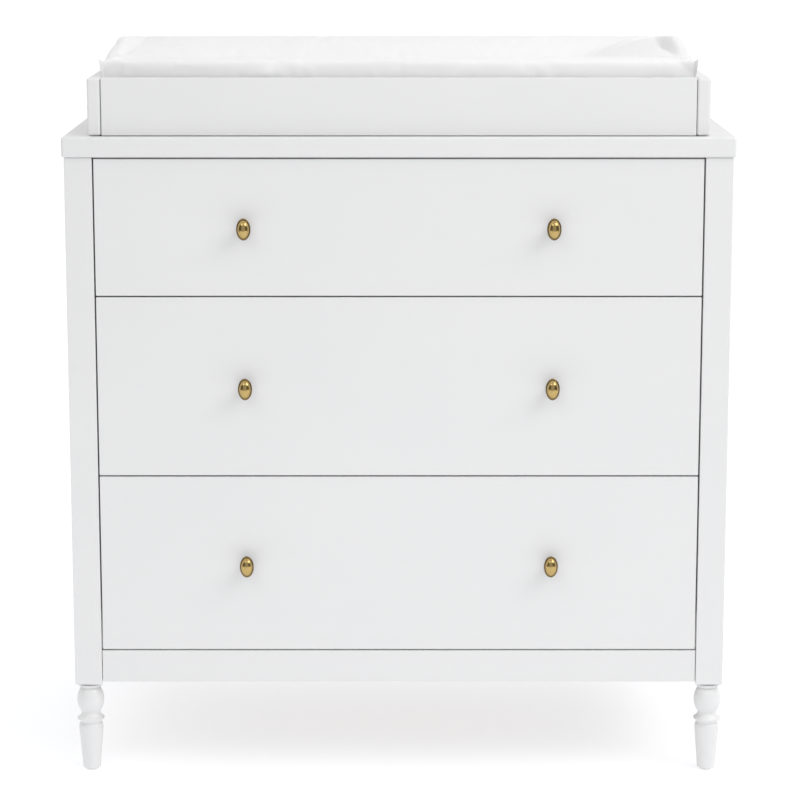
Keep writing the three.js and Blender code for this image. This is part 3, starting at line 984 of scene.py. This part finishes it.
def add_pad_seams(pad, seams, rim, cover):
    """A pressed seam up each corner and a welt round the base."""
    spots = [v.co.copy() for v in pad.data.vertices]
    sides, rows = {-1: "left", 1: "right"}, {-1: "front", 1: "back"}
    for (i, j), line in seams.items():
        outward = Vector((i, j, 0)).normalized()
        name = f"pad_corner_seam_{rows[j]}_{sides[i]}"
        rest_on(seam_fin(name, [spots[k] for k in line], outward), "pad", cover)
    lift = Vector((0, 0, 1.2 * MM))
    base = welt_along("pad_base_welt", [spots[k] + lift for k in rim], 1.1 * MM)
    rest_on(base, "pad", cover)


# ---------------------------------------------------------------- studio


def add_floor():
    """A plain pale floor that glows a little, so its shadow is a light one. From below it isn't seen."""
    half = 3.0
    corners = [(-half, -half, 0), (half, -half, 0), (half, half, 0), (-half, half, 0)]
    floor = new_piece("floor", mesh_of("floor", corners, [(0, 1, 2, 3)], smooth=False))
    floor.location.z = -0.2 * MM
    pale = bpy.data.materials.new("pale_floor")
    pale.use_nodes = True
    tree = pale.node_tree
    shader = tree.nodes["Principled BSDF"]
    shader.inputs["Base Color"].default_value = (0.45, 0.455, 0.465, 1)
    shader.inputs["Roughness"].default_value = 0.9
    shader.inputs["Specular IOR Level"].default_value = 0.0
    shader.inputs["Emission Color"].default_value = (0.98, 0.985, 1.0, 1)
    shader.inputs["Emission Strength"].default_value = 0.66
    clear = tree.nodes.new("ShaderNodeBsdfTransparent")
    choose = tree.nodes.new("ShaderNodeMixShader")
    under = tree.nodes.new("ShaderNodeNewGeometry")
    tree.links.new(under.outputs["Backfacing"], choose.inputs[0])
    tree.links.new(shader.outputs[0], choose.inputs[1])
    tree.links.new(clear.outputs[0], choose.inputs[2])
    tree.links.new(choose.outputs[0], tree.nodes["Material Output"].inputs["Surface"])
    floor.data.materials.append(pale)


def add_world(level=0.85, dim=0.15, strip=0.55, seen=1.06):
    """A pale room that is dim low down on both sides of the camera, and less so behind it.

    level is the room's own brightness and dim that of its dark part. strip is how much of the darkness is
    missing behind the camera. Where the camera looks at the room itself, it is plain white, and seen is how
    bright.
    """
    world = bpy.data.worlds.new("studio")
    bpy.context.scene.world = world
    world.use_nodes = True
    tree = world.node_tree
    tree.nodes.clear()
    new, link = tree.nodes.new, tree.links.new

    def maths(operation, a, b):
        made = new("ShaderNodeMath")
        made.operation = operation
        for socket, value in zip(made.inputs, (a, b)):
            if isinstance(value, bpy.types.NodeSocket):
                link(value, socket)
            else:
                socket.default_value = value
        return made.outputs[0]

    def step(value, start, end, first, last):
        made = new("ShaderNodeMapRange")
        made.interpolation_type = "SMOOTHSTEP"
        link(value, made.inputs["Value"])
        for name, number in (("From Min", start), ("From Max", end), ("To Min", first), ("To Max", last)):
            made.inputs[name].default_value = number
        return made.outputs["Result"]

    apart = new("ShaderNodeSeparateXYZ")
    link(new("ShaderNodeTexCoord").outputs["Generated"], apart.inputs[0])
    x, y, z = apart.outputs
    flat = maths("SQRT", maths("ADD", maths("POWER", x, 2.0), maths("POWER", y, 2.0)), 0.0)
    front = maths("DIVIDE", maths("MULTIPLY", y, -1.0), maths("MAXIMUM", flat, 0.001))
    low = step(z, 0.36, 0.58, 1, 0)
    ahead = step(front, 0.05, 0.25, 0, 1)
    middle = step(front, 0.82, 0.92, 1, 1 - strip)
    dark = maths("MULTIPLY", maths("MULTIPLY", low, ahead), middle)
    strength = maths("SUBTRACT", level, maths("MULTIPLY", dark, level - dim))
    room, plain = new("ShaderNodeBackground"), new("ShaderNodeBackground")
    link(strength, room.inputs["Strength"])
    plain.inputs["Strength"].default_value = seen
    for light in (room, plain):
        light.inputs["Color"].default_value = (1, 1, 1, 1)
    choose = new("ShaderNodeMixShader")
    link(new("ShaderNodeLightPath").outputs["Is Camera Ray"], choose.inputs[0])
    link(room.outputs[0], choose.inputs[1])
    link(plain.outputs[0], choose.inputs[2])
    link(choose.outputs[0], new("ShaderNodeOutputWorld").inputs["Surface"])


def add_softbox(name, place, target, width, height, power):
    light = bpy.data.lights.new(name, "AREA")
    light.shape = "RECTANGLE"
    light.size, light.size_y = width, height
    light.energy = power
    box = new_piece(name, light, place)
    box.rotation_euler = (Vector(target) - Vector(place)).to_track_quat("-Z", "Y").to_euler()
    box.visible_camera = False
    return box


def add_lights():
    """Three softboxes from above, and one in front that only fills, so that it shows in no knob."""
    front_middle = (0, cad_low.y, 0.55)
    add_softbox("softbox_right", (1.6, -2.1, 2.7), front_middle, 1.8, 1.5, 16)
    add_softbox("softbox_left", (-1.4, -2.4, 2.6), front_middle, 1.1, 1.1, 6.5)
    add_softbox("softbox_side", (2.6, -1.2, 2.9), (0, 0, 0.8), 2.2, 2.0, 34)
    fill = add_softbox("softbox_front", (-0.1, -2.0, 1.05), (-0.1, 0, 1.05), 1.6, 1.0, 3.5)
    fill.visible_glossy = False


def add_camera():
    """The camera looks a little down at the front, from the height at which the top's upper face shows."""
    aside, distance, height, tilt = 0.0016, 3.6, 1.25, 10.24
    camera = bpy.data.cameras.new("camera")
    camera.sensor_width = 36
    camera.lens = 119.3
    camera.shift_y = -0.053
    placed = new_piece("camera", camera, (aside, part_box("top_board")[0].y - distance, height))
    placed.rotation_euler = (math.radians(90 - tilt), 0, 0)
    bpy.context.scene.camera = placed


# ---------------------------------------------------------------- assembly

paint, sheet, steel = painted_wood(), hardboard(), zinc_steel()
finish_case(paint, sheet)
finish_drawers(paint, drawer_board(), sheet, steel)
add_feet(paint, nylon())
add_knobs(polished_brass(), steel)
add_drawer_fittings(steel)
add_ball_cages(steel)
add_back_fittings(steel)
add_pad(pad_cover())
add_floor()
add_world()
add_lights()
add_camera()
bpy.context.scene.view_settings.view_transform = "Standard"
